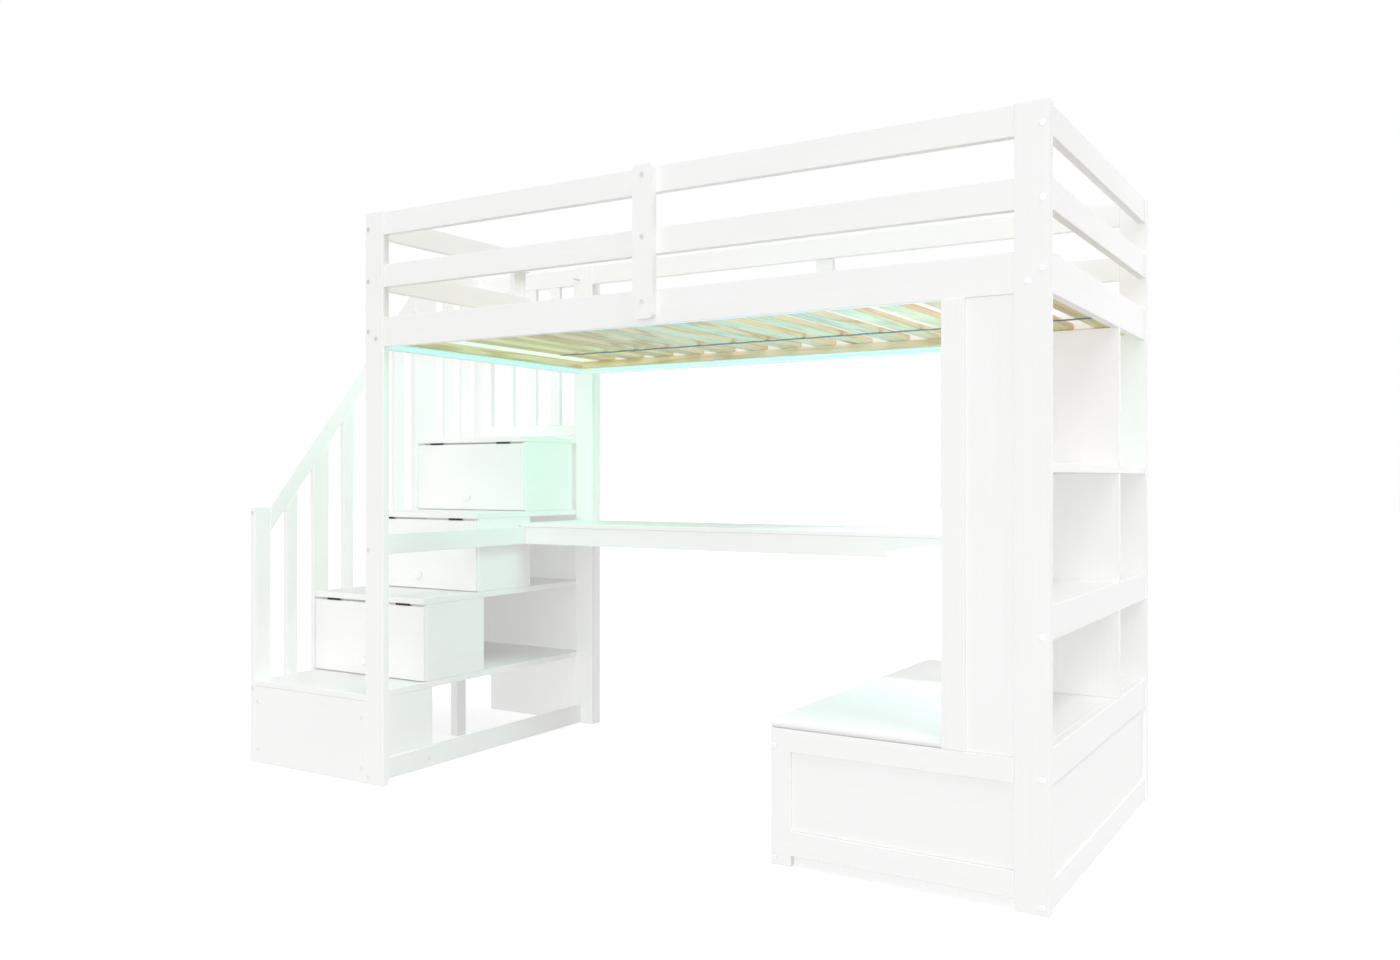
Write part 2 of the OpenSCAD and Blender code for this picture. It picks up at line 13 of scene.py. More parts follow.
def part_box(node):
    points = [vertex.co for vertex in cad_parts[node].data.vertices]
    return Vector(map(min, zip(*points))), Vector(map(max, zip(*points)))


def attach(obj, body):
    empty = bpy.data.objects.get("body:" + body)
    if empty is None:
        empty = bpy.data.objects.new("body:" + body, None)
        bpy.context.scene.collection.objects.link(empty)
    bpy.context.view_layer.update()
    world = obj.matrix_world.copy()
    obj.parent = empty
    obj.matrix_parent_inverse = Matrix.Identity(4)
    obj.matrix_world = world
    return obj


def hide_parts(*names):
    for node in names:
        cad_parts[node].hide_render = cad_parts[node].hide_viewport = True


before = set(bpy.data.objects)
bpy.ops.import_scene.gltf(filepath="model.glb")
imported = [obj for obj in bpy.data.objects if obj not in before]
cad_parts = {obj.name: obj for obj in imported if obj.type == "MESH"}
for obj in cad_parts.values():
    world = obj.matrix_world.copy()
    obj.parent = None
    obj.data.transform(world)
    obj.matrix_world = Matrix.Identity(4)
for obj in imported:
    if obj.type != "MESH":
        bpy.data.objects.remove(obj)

log = logging.getLogger("loft_bed")

MM = 0.001
BED = "bed"
SHORTEST_EASED = 4 * MM
MERGED = 0.02 * MM
FLAT = math.radians(0.5)
Number = Union[int, float]
Box = tuple[Vector, Vector]
EdgeTest = Callable[[bmesh.types.BMEdge], bool]


class Grain(Enum):
    """The way a board's grain runs, as the row axis along it."""

    ALONG_X = 0
    ALONG_Y = 1
    ALONG_Z = 2


# ---- Shader graphs ----


class Signal:
    """A socket in a shader graph that can be used in Python expressions."""

    def __init__(self, graph: "Graph", socket: bpy.types.NodeSocket) -> None:
        """Wraps a node's output socket."""
        self.graph = graph
        self.socket = socket

    def _math(self, operation: str, first: "Signal | Number", second: "Signal | Number") -> "Signal":
        """Adds one Math node."""
        return self.graph.node("Math", {"operation": operation}, {0: first, 1: second})

    def __add__(self, other: "Signal | Number") -> "Signal":
        """self + other."""
        return self._math("ADD", self, other)

    def __radd__(self, other: Number) -> "Signal":
        """other + self."""
        return self._math("ADD", other, self)

    def __sub__(self, other: "Signal | Number") -> "Signal":
        """self - other."""
        return self._math("SUBTRACT", self, other)

    def __rsub__(self, other: Number) -> "Signal":
        """other - self."""
        return self._math("SUBTRACT", other, self)

    def __mul__(self, other: "Signal | Number") -> "Signal":
        """self * other."""
        return self._math("MULTIPLY", self, other)

    def __rmul__(self, other: Number) -> "Signal":
        """other * self."""
        return self._math("MULTIPLY", other, self)

    def __pow__(self, other: "Signal | Number") -> "Signal":
        """self ** other."""
        return self._math("POWER", self, other)

    def above(self, low: float, high: float) -> "Signal":
        """A smooth step from 0 at low to 1 at high."""
        ends = {"Value": self, "From Min": low, "From Max": high}
        return self.graph.node("MapRange", {"interpolation_type": "SMOOTHSTEP"}, ends)


Feed = Union[Signal, Number, Sequence[float]]


class Graph:
    """One material's node tree, filled by finishes."""

    def __init__(self, name: str) -> None:
        """Starts a material with a bare Principled shader."""
        self.material = bpy.data.materials.new(name)
        self.material.use_nodes = True
        self.tree = self.material.node_tree
        self.shader = self.tree.nodes["Principled BSDF"]

    def feed(self, socket: bpy.types.NodeSocket, value: Feed) -> None:
        """Links a signal to a socket, or sets the socket's own value."""
        if isinstance(value, Signal):
            self.tree.links.new(value.socket, socket)
        elif isinstance(value, (int, float)):
            socket.default_value = value
        else:
            socket.default_value = (*value, 1.0) if socket.type == "RGBA" and len(value) == 3 else value

    def node(
        self,
        kind: str,
        settings: Optional[dict[str, object]] = None,
        inputs: Optional[dict[Union[str, int], Feed]] = None,
        output: Union[str, int] = 0,
    ) -> Signal:
        """Adds a node of any kind.

        Args:
            kind: The node's type without its ShaderNode prefix.
            settings: The node's own settings, set before its inputs.
            inputs: Values or signals by socket name or number.
            output: The socket to hand back.

        Returns:
            The chosen output as a signal.
        """
        made = self.tree.nodes.new("ShaderNode" + kind)
        for name, value in (settings or {}).items():
            setattr(made, name, value)
        for key, value in (inputs or {}).items():
            self.feed(made.inputs[key], value)
        return Signal(self, made.outputs[output])

    def mix(self, first: Feed, second: Feed, factor: Feed) -> Signal:
        """Blends two colours by a factor."""
        return self.node("Mix", {"data_type": "RGBA"}, {0: factor, 6: first, 7: second}, 2)

    def stretched(self, scale: Sequence[float]) -> Signal:
        """The piece's own coordinates, scaled by axis."""
        place = self.node("TexCoord", output="Object")
        return self.node("Mapping", inputs={"Vector": place, "Scale": scale})

    def plain(self) -> Signal:
        """The piece's own coordinates, in metres."""
        return self.stretched((1, 1, 1))

    def part(self, vector: Signal, axis: int) -> Signal:
        """One axis of a vector."""
        return self.node("SeparateXYZ", inputs={"Vector": vector}, output=axis)

    def function(self, operation: str, value: Signal) -> Signal:
        """A Math node's function of one value, such as SINE."""
        return self.node("Math", {"operation": operation}, {0: value})

    def noise(self, vector: Signal, scale: float, detail: float = 2.0, roughness: float = 0.5) -> Signal:
        """Smooth noise from 0 to 1."""
        return self.node(
            "TexNoise", inputs={"Vector": vector, "Scale": scale, "Detail": detail, "Roughness": roughness}
        )

    def relief(self, height: Signal, strength: float, distance: float) -> None:
        """Feeds a bump of this height to the shader's normal."""
        bump = self.node("Bump", inputs={"Strength": strength, "Distance": distance, "Height": height})
        self.feed(self.shader.inputs["Normal"], bump)

    def set(self, **values: Feed) -> None:
        """Feeds the shader's sockets, each named with _ for a space."""
        for name, value in values.items():
            self.feed(self.shader.inputs[name.replace("_", " ")], value)


class Finish:
    """A finish that makes its material once and lends it to every piece."""

    made: dict["Finish", bpy.types.Material] = {}

    def graph(self) -> Graph:
        """Builds the material's nodes."""
        raise NotImplementedError

    def material(self) -> bpy.types.Material:
        """The finish's material, made on first use."""
        if self not in Finish.made:
            Finish.made[self] = self.graph().material
        return Finish.made[self]


def along(grain: Grain, length: float, across: float) -> tuple[float, float, float]:
    """Texture scales that stretch a pattern along the grain.

    Args:
        grain: The axis that the grain runs along.
        length: The scale along it.
        across: The scale across it.

    Returns:
        The scale for X, Y and Z.
    """
    return tuple(length if axis == grain.value else across for axis in range(3))


@dataclass(frozen=True)
class SatinPaint(Finish):
    """Sprayed white satin paint with the timber's grain just telegraphing through."""

    grain: Grain
    light: tuple[float, float, float] = (0.845, 0.845, 0.84)
    shade: tuple[float, float, float] = (0.822, 0.822, 0.815)
    roughness: float = 0.42

    def graph(self) -> Graph:
        """Cloudy tone, faint fibres along the grain and a fine spray texture."""
        g = Graph(f"satin_paint_{self.grain.name.lower()}")
        room = g.plain()
        fibres = g.noise(g.stretched(along(self.grain, 2.5, 110)), 1.0, 4, 0.6)
        clouds = g.noise(room, 3.2, 3, 0.55)
        spray = g.noise(room, 620, 2)
        tone = (0.55 * clouds + 0.45 * fibres).above(0.3, 0.7)
        g.set(
            Base_Color=g.mix(self.shade, self.light, tone),
            Roughness=self.roughness + 0.10 * clouds - 0.05 * fibres,
            Coat_Weight=0.08,
            Coat_Roughness=0.3,
        )
        g.relief(0.6 * fibres + 0.25 * spray + 0.4 * clouds, 0.1, 0.0006)
        return g


@dataclass(frozen=True)
class BarePine(Finish):
    """Planed pine: growth rings, fibres, a few knots and a tone of its own for each board."""

    grain: Grain
    pitch: float
    early: tuple[float, float, float] = (0.63, 0.53, 0.35)
    late: tuple[float, float, float] = (0.46, 0.33, 0.17)
    warm: tuple[float, float, float] = (0.80, 0.56, 0.30)
    knot: tuple[float, float, float] = (0.36, 0.19, 0.08)

    def graph(self) -> Graph:
        """Rings drawn out along the grain, broken by fibres and knots."""
        g = Graph(f"bare_pine_{self.grain.name.lower()}")
        wander = g.stretched(along(self.grain, 0.9, 26))
        warp = g.noise(wander, 1.0, 2, 0.5)
        rings = g.function("SINE", 46 * warp)
        fibres = g.noise(g.stretched(along(self.grain, 5, 420)), 1.0, 3, 0.6)
        cells = g.node(
            "TexVoronoi", {"feature": "F1"},
            {"Vector": g.stretched(along(self.grain, 1.6, 7.5)), "Scale": 1.0, "Randomness": 1.0}, "Distance",
        )
        knots = 1 - cells.above(0.05, 0.13)
        across = 0 if self.grain is Grain.ALONG_Y else 1
        row = g.function("FLOOR", g.part(g.stretched((1 / self.pitch,) * 3), across))
        board = g.node("TexWhiteNoise", {"noise_dimensions": "1D"}, {"W": row}, "Value")
        late = ((0.5 + 0.5 * rings) ** 2.2 * 0.55 + 0.35 * fibres).above(0.1, 0.95)
        wood = g.mix(self.early, self.late, late)
        toned = g.mix(wood, g.mix(wood, self.warm, 0.35), board)
        g.set(
            Base_Color=g.mix(toned, self.knot, knots * 0.75),
            Roughness=0.62 + 0.14 * fibres,
        )
        g.relief(0.5 * rings + fibres - knots, 0.3, 0.0005)
        return g


@dataclass(frozen=True)
class PlatedSteel(Finish):
    """Steel in its finish of plating, finely brushed, a little dull; near black where it paints the shade on
    hinge leaves in their gaps.
    """

    name: str = "plated_steel"
    light: tuple[float, float, float] = (0.74, 0.74, 0.73)
    shade: tuple[float, float, float] = (0.62, 0.62, 0.63)

    def graph(self) -> Graph:
        """Fine brush marks and a cloudy finish."""
        g = Graph(self.name)
        brush = g.noise(g.stretched((40, 900, 900)), 1.0, 2)
        clouds = g.noise(g.plain(), 180, 3)
        g.set(
            Base_Color=g.mix(self.shade, self.light, clouds),
            Metallic=0.9,
            Roughness=0.34 + 0.12 * brush + 0.08 * clouds,
        )
        g.relief(brush, 0.15, 0.0002)
        return g


@dataclass(frozen=True)
class WovenStrap(Finish):
    """Dark polypropylene webbing with a plain weave."""

    light: tuple[float, float, float] = (0.12, 0.15, 0.13)
    shade: tuple[float, float, float] = (0.05, 0.06, 0.055)
    thread: float = 1.2 * MM

    def graph(self) -> Graph:
        """Ribs across the strap crossed by fine threads."""
        g = Graph("woven_strap")
        turns = 2 * math.pi / self.thread
        place = g.stretched((turns, turns, turns))
        warp, weft = (g.function("SINE", g.part(place, axis)) for axis in (0, 1))
        weave = 0.5 + 0.5 * warp * weft
        fuzz = g.noise(g.plain(), 900, 2)
        g.set(Base_Color=g.mix(self.shade, self.light, weave * 0.8 + 0.2 * fuzz), Roughness=0.8 + 0.1 * fuzz,
              Sheen_Weight=0.2)
        g.relief(weave, 0.6, 0.0003)
        return g


@dataclass(frozen=True)
class LitSilicone(Finish):
    """The strip's clear sleeve, filled with blue-green light that peaks over each diode."""

    name: str
    core: tuple[float, float, float]
    rim: tuple[float, float, float]
    power: float
    pitch: float = 33.3 * MM
    unlit: tuple[float, float, float] = (0.02, 0.05, 0.045)

    def graph(self) -> Graph:
        """A glow that rises and falls along the strip."""
        g = Graph(self.name)
        turns = 2 * math.pi / self.pitch
        place = g.stretched((turns, turns, 1))
        x_wave, y_wave = (g.function("COSINE", g.part(place, axis)) for axis in (0, 1))
        glow = 0.5 + 0.25 * x_wave + 0.25 * y_wave
        haze = g.noise(g.plain(), 60, 2)
        light = g.mix(self.rim, self.core, glow * 0.7 + 0.3 * haze)
        g.set(Base_Color=g.mix(light, self.unlit, 0.85), Emission_Color=light,
              Emission_Strength=self.power, Roughness=0.35 + 0.1 * haze)
        return g


@dataclass(frozen=True)
class StudioFloor(Finish):
    """A pale seamless floor."""

    tone: float = 0.93
    glow: float = 0.3

    def graph(self) -> Graph:
        """Near-white and matt, with the faintest cloud in it."""
        g = Graph("studio_floor")
        clouds = g.noise(g.plain(), 1.5, 2)
        white, soft = (self.tone,) * 3, (self.tone - 0.01,) * 3
        g.set(Base_Color=g.mix(soft, white, clouds), Roughness=0.85 + 0.05 * clouds,
              Emission_Color=(1.0, 1.0, 1.0), Emission_Strength=self.glow)
        return g


# ---- Modelling ----


def deselect() -> None:
    """Leaves nothing selected and nothing active."""
    if bpy.context.mode != "OBJECT":
        bpy.ops.object.mode_set(mode="OBJECT")
    bpy.ops.object.select_all(action="DESELECT")
    bpy.context.view_layer.objects.active = None


def pick(piece: bpy.types.Object) -> None:
    """Makes a piece the only selected and active object."""
    deselect()
    piece.select_set(True)
    bpy.context.view_layer.objects.active = piece


def edit(piece: bpy.types.Object, chosen: str = "FACE") -> bmesh.types.BMesh:
    """Opens a piece in edit mode with nothing selected.

    Args:
        piece: The piece to open.
        chosen: The kind of element that will be selected: VERT, EDGE or FACE.

    Returns:
        The mesh being edited.
    """
    pick(piece)
    bpy.ops.object.mode_set(mode="EDIT")
    bpy.ops.mesh.select_mode(type=chosen)
    bpy.ops.mesh.select_all(action="DESELECT")
    return bmesh.from_edit_mesh(piece.data)


def choose(piece: bpy.types.Object, mesh: bmesh.types.BMesh, elements: Iterable) -> None:
    """Selects elements of the mesh being edited."""
    for element in elements:
        element.select_set(True)
    mesh.select_flush_mode()
    bmesh.update_edit_mesh(piece.data)


def close_edit() -> None:
    """Goes back to object mode."""
    bpy.ops.object.mode_set(mode="OBJECT")


def ease(piece: bpy.types.Object, radius: float, segments: int, test: EdgeTest) -> None:
    """Rounds the edges that pass a test.

    Args:
        piece: The piece to round.
        radius: How far the rounding reaches from each edge, in metres.
        segments: How many facets it has.
        test: Says whether an edge is rounded.
    """
    mesh = edit(piece, "EDGE")
    choose(piece, mesh, [e for e in mesh.edges if test(e)])
    bpy.ops.mesh.bevel(offset=radius, segments=segments, affect="EDGES", clamp_overlap=True)
    close_edit()


def sharp(least: float, angle: float = 40) -> EdgeTest:
    """A test for sharp edges at least so long, in metres, and so bent, in degrees."""
    bent = math.radians(angle)
    return lambda e: len(e.link_faces) == 2 and e.calc_length() > least and e.calc_face_angle(0.0) > bent


def smooth(piece: bpy.types.Object, angle: float = 38) -> None:
    """Shades a piece smooth where its faces meet at less than so many degrees, and keeps flat faces flat."""
    pick(piece)
    bpy.ops.object.shade_smooth_by_angle(angle=math.radians(angle))
    apply_modifier(piece, "WEIGHTED_NORMAL", keep_sharp=True)


def settle(piece: bpy.types.Object) -> None:
    """Puts a piece's place, turn and size into its mesh."""
    pick(piece)
    bpy.ops.object.transform_apply(location=True, rotation=True, scale=True)


def apply_modifier(piece: bpy.types.Object, kind: str, **settings: object) -> None:
    """Adds a modifier of a kind, sets it and applies it."""
    pick(piece)
    modifier = piece.modifiers.new(kind.title(), kind)
    for name, value in settings.items():
        setattr(modifier, name, value)
    bpy.ops.object.modifier_apply(modifier=modifier.name)


def repeat(piece: bpy.types.Object, count: int, step: Sequence[float]) -> None:
    """Repeats a piece's mesh at even steps."""
    apply_modifier(piece, "ARRAY", count=count, use_relative_offset=False, use_constant_offset=True,
                   constant_offset_displace=step)


def block(name: str, low: Vector, high: Vector) -> bpy.types.Object:
    """Adds a cube between two corners, with its place in its mesh."""
    deselect()
    bpy.ops.mesh.primitive_cube_add(size=1, location=(low + high) / 2)
    piece = bpy.context.object
    piece.name = name
    piece.scale = high - low
    settle(piece)
    return piece


def twin(piece: bpy.types.Object, name: str, place: Matrix) -> bpy.types.Object:
    """Copies a piece with its own mesh, moved by a matrix."""
    copy = bpy.data.objects.new(name, piece.data.copy())
    bpy.context.scene.collection.objects.link(copy)
    copy.data.transform(place)
    return copy


def joined(name: str, parts: Sequence[bpy.types.Object]) -> bpy.types.Object:
    """Joins parts into one piece with a new name."""
    deselect()
    for part in parts:
        part.select_set(True)
    bpy.context.view_layer.objects.active = parts[0]
    bpy.ops.object.join()
    parts[0].name = name
    return parts[0]


def merged_copy(node: str, name: str) -> bpy.types.Object:
    """Copies a CAD node's mesh as a new piece, with its loose triangles merged into flat faces.

    Args:
        node: The CAD node.
        name: The new piece's name.

    Returns:
        The new piece.
    """
    piece = bpy.data.objects.new(name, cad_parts[node].data.copy())
    bpy.context.scene.collection.objects.link(piece)
    pick(piece)
    bpy.ops.mesh.customdata_custom_splitnormals_clear()
    bpy.ops.object.mode_set(mode="EDIT")
    bpy.ops.mesh.select_all(action="SELECT")
    bpy.ops.mesh.remove_doubles(threshold=MERGED)
    bpy.ops.mesh.dissolve_limited(angle_limit=FLAT)
    close_edit()
    return piece


def islands(node: str) -> list[Box]:
    """The boxes of a CAD node's separate solids, in order of their lowest corners."""
    piece = merged_copy(node, "scratch_islands")
    mesh = bmesh.new()
    mesh.from_mesh(piece.data)
    left, found = set(mesh.verts), []
    while left:
        edge, seen = [left.pop()], []
        while edge:
            vert = edge.pop()
            seen.append(vert.co.copy())
            for near in (e.other_vert(vert) for e in vert.link_edges):
                if near in left:
                    left.remove(near)
                    edge.append(near)
        low = Vector(min(c[i] for c in seen) for i in range(3))
        found.append((low, Vector(max(c[i] for c in seen) for i in range(3))))
    mesh.free()
    bpy.data.objects.remove(piece)
    return sorted(found, key=lambda b: tuple(round(v, 4) for v in b[0]))


def hand_over(piece: bpy.types.Object, finish: Finish, slot: str, body: str, *nodes: str) -> None:
    """Gives a finished piece its material, hides the CAD nodes that it stands for and hangs it on its body.

    Args:
        piece: The finished piece.
        finish: What it is finished in.
        slot: Not used.
        body: The body it moves with.
        nodes: The CAD nodes that it replaces.
    """
    piece.data.materials.clear()
    piece.data.materials.append(finish.material())
    if nodes:
        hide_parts(*nodes)
    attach(piece, body)
    log.info("%s: %d faces, on %s", piece.name, len(piece.data.polygons), body)


def darken_for_gap_shade(node: str) -> None:
    """Gives a CAD node that keeps its own shape a near-black steel, which paints in the shade of the gap that
    the hinge leaves sit in.
    """
    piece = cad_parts[node]
    piece.data.materials.clear()
    # Near-black colour: painted shade of the narrow gap that the hinge leaves sit in.
    piece.data.materials.append(PlatedSteel("hinge_steel_painted_shade", (0.07, 0.07, 0.07), (0.03, 0.03, 0.03)).material())
    log.info("%s: blackened", node)


# ---- Sub-assemblies ----


@dataclass
class Joinery:
    """Painted boards of one sub-assembly, with their long edges eased."""

    body: str = BED
    easing: float = 1.8 * MM
    facets: int = 3

    def board(self, node: str, grain: Grain, easing: Optional[float] = None) -> None:
        """Makes one node's boards with eased edges and satin paint.

        Args:
            node: The CAD node whose boards they are.
            grain: The way the grain runs.
            easing: The edge rounding, where it isn't the sub-assembly's own.
        """
        piece = merged_copy(node, node + "_board")
        ease(piece, easing or self.easing, self.facets, sharp(SHORTEST_EASED))
        smooth(piece)
        hand_over(piece, SatinPaint(grain), "white_paint", self.body, node)

    def boards(self, grain: Grain, *nodes: str) -> None:
        """Makes several nodes' boards with the same grain."""
        for node in nodes:
            self.board(node, grain)


@dataclass
class BedFrame(Joinery):
    """Posts, side rails, guards and the uprights that tie them."""

    post_easing: float = 2.5 * MM
    upright_easing: float = 3 * MM

    def build(self) -> None:
        """Makes the frame's boards."""
        for side in ("front_left", "front_right", "back_left", "back_right"):
            self.board(f"post_{side}", Grain.ALONG_Z, self.post_easing)
        for kind in ("side_rail", "guards"):
            self.boards(Grain.ALONG_X, f"{kind}_front", f"{kind}_back")
            self.boards(Grain.ALONG_Y, f"{kind}_left", f"{kind}_right")
        self.board("foot_rail_left", Grain.ALONG_Y)
        self.board("guard_uprights", Grain.ALONG_Z, self.upright_easing)


@dataclass
class Desk(Joinery):
    """The desk top with its rails."""

    top_easing: float = 3 * MM

    def build(self) -> None:
        """Makes the desk's boards."""
        self.board("desk_top", Grain.ALONG_X, self.top_easing)
        self.board("desk_aprons", Grain.ALONG_X)
        self.boards(Grain.ALONG_Y, "desk_rail_left", "desk_cleat")


@dataclass
class Bench(Joinery):
    """The panelled bench and the low panel at the bookcase's end."""

    def build(self) -> None:
        """Makes the bench's boards."""
        self.boards(Grain.ALONG_X, "bench_seat", "bench_front_frame", "bench_back_frame", "bench_panels")
        self.boards(Grain.ALONG_Y, "bench_side", "bench_bearer", "end_low_rails", "end_low_panel")


@dataclass
class Bookcase(Joinery):
    """The open bookcase that holds up the bed's end."""

    easing: float = 1.4 * MM

    def build(self) -> None:
        """Makes the bookcase's boards."""
        self.boards(Grain.ALONG_Z, "case_stiles", "case_side_panels", "case_back", "case_divider")
        self.boards(Grain.ALONG_Y, "case_bottom", "case_shelf_lower", "case_shelf_upper", "case_shelf_aprons")


@dataclass
class Stair(Joinery):
    """The treads and the boxes under them."""

    tread_easing: float = 2.5 * MM

    def build(self) -> None:
        """Makes the stair's boards."""
        self.board("step_decks", Grain.ALONG_X, self.tread_easing)
        self.boards(Grain.ALONG_X, "step_front", "step_backs")
        self.boards(Grain.ALONG_Y, "step_sides_right", "step_sides_left")
        self.boards(Grain.ALONG_Z, "tower_back", "tower_leg")


@dataclass
class Railing(Joinery):
    """Posts, handrail and balusters round the stair and its landing."""

    easing: float = 2.2 * MM

    def build(self) -> None:
        """Makes the railing's boards."""
        self.boards(Grain.ALONG_Z, "newel_posts", "balusters")
        self.board("handrail", Grain.ALONG_Y)
        self.board("landing_rails", Grain.ALONG_X)


@dataclass
class FlapDoor(Joinery):
    """One flap door with its turned knob and hinge leaves."""

    number: int = 2
    easing: float = 2.5 * MM
    sides: int = 32
    base_radius: float = 9.5 * MM
    profile: tuple[tuple[float, float], ...] = (
        (0.52, 0.06), (0.49, 0.14), (0.52, 0.30), (0.78, 0.42), (0.97, 0.54), (1.0, 0.66), (0.95, 0.80),
        (0.80, 0.91), (0.55, 0.97), (0.25, 1.0),
    )

    def knob(self) -> None:
        """Turns the knob: a ring drawn out along its axis and resized at each step of its profile."""
        node = f"knob_{self.number}"
        low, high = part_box(node)
        radius, length = (high.x - low.x) / 2, high.y - low.y
        centre = Vector(((low.x + high.x) / 2, high.y, (low.z + high.z) / 2))
        deselect()
        bpy.ops.mesh.primitive_circle_add(
            vertices=self.sides, radius=self.base_radius, fill_type="NGON", location=centre,
            rotation=(math.radians(90), 0, 0),
        )
        piece = bpy.context.object
        piece.name = f"turned_{node}"
        settle(piece)
        bpy.ops.object.mode_set(mode="EDIT")
        bpy.ops.mesh.select_all(action="SELECT")
        now, depth = self.base_radius, 0.0
        for share, reach in self.profile:
            step = reach * length - depth
            bpy.ops.mesh.extrude_region_move(TRANSFORM_OT_translate={"value": (0, -step, 0)})
            factor = share * radius / now
            depth, now = reach * length, share * radius
            middle = centre - Vector((0, depth, 0))
            bpy.ops.transform.resize(value=(factor, 1, factor), center_override=middle)
        bpy.ops.mesh.select_all(action="SELECT")
        bpy.ops.mesh.normals_make_consistent(inside=False)
        close_edit()
        apply_modifier(piece, "SUBSURF", levels=1, render_levels=1)
        smooth(piece, 50)
        hand_over(piece, SatinPaint(Grain.ALONG_Y), "white_paint", self.body, node)

    def build(self) -> None:
        """Makes the flap and the knob, and paints the leaves near black for the shade of their gap."""
        self.board(f"flap_{self.number}", Grain.ALONG_X)
        self.knob()
        darken_for_gap_shade(f"flap_leaves_{self.number}")


@dataclass
class SlatBase:
    """Ledgers, slats and the webbing that keeps the slats apart."""

    slat_easing: float = 2.5 * MM
    ledger_easing: float = 1.5 * MM
    sag: float = 0.7 * MM
    cuts_per_gap: int = 4
    staple: tuple[float, float, float] = (0.7 * MM, 11 * MM, 0.7 * MM)
    staple_easing: float = 0.25 * MM

    def slats(self) -> None:
        """Makes the slats with rounded edges in bare pine."""
        pitch = self.pitch()
        piece = merged_copy("slats", "pine_slats")
        ease(piece, self.slat_easing, 3, sharp(SHORTEST_EASED))
        smooth(piece)
        hand_over(piece, BarePine(Grain.ALONG_Y, pitch), "pine", BED, "slats")

    def ledgers(self) -> None:
        """Makes the ledgers, whose grain follows each of the four bars."""
        piece = merged_copy("slat_ledgers", "pine_ledgers")
        low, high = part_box("slat_ledgers")
        ease(piece, self.ledger_easing, 2, sharp(SHORTEST_EASED))
        smooth(piece)
        hand_over(piece, BarePine(Grain.ALONG_X, 0.5), "pine", BED, "slat_ledgers")
        piece.data.materials.append(BarePine(Grain.ALONG_Y, 0.5).material())
        bar = high.z - low.z
        for face in piece.data.polygons:
            inside = low.y + bar < face.center.y < high.y - bar
            face.material_index = int(inside and min(face.center.x - low.x, high.x - face.center.x) < bar)

    @staticmethod
    def pitch() -> float:
        """The distance from one slat to the next."""
        found = islands("slats")
        return found[1][0].x - found[0][0].x

    def webbing(self) -> None:
        """Makes the two straps, which hang a little between the slats, and their staples."""
        slats, straps, staples = islands("slats"), [], []
        starts = [low.x for low, high in slats]
        width, pitch = slats[0][1].x - slats[0][0].x, self.pitch()
        for number, (low, high) in enumerate(islands("slat_webbing")):
            strap = block(f"strap_{number}", low, high)
            mesh = edit(strap, "EDGE")
            choose(strap, mesh, [e for e in mesh.edges if abs(e.verts[0].co.x - e.verts[1].co.x) > 0.1])
            bpy.ops.mesh.subdivide(number_cuts=(len(starts) - 1) * 2 * self.cuts_per_gap)
            close_edit()
            for vert in strap.data.vertices:
                into = (vert.co.x - starts[0]) % pitch - width
                if into > 0:
                    vert.co.z -= self.sag * math.sin(math.pi * into / (pitch - width)) ** 2
            straps.append(strap)
            wire = Vector(self.staple)
            middle = Vector((starts[0] + width / 2, (low.y + high.y) / 2, low.z))
            pin = block(f"staple_{number}", middle - wire / 2, middle + wire / 2)
            ease(pin, self.staple_easing, 2, sharp(self.staple_easing / 2))
            repeat(pin, len(starts), (pitch, 0, 0))
            staples.append(pin)
        strap = joined("webbing_straps", straps)
        smooth(strap)
        hand_over(strap, WovenStrap(), "webbing", BED, "slat_webbing")
        pin = joined("webbing_staples", staples)
        smooth(pin)
        hand_over(pin, PlatedSteel(), "steel", BED)

    def build(self) -> None:
        """Makes the whole base."""
        self.ledgers()
        self.slats()
        self.webbing()


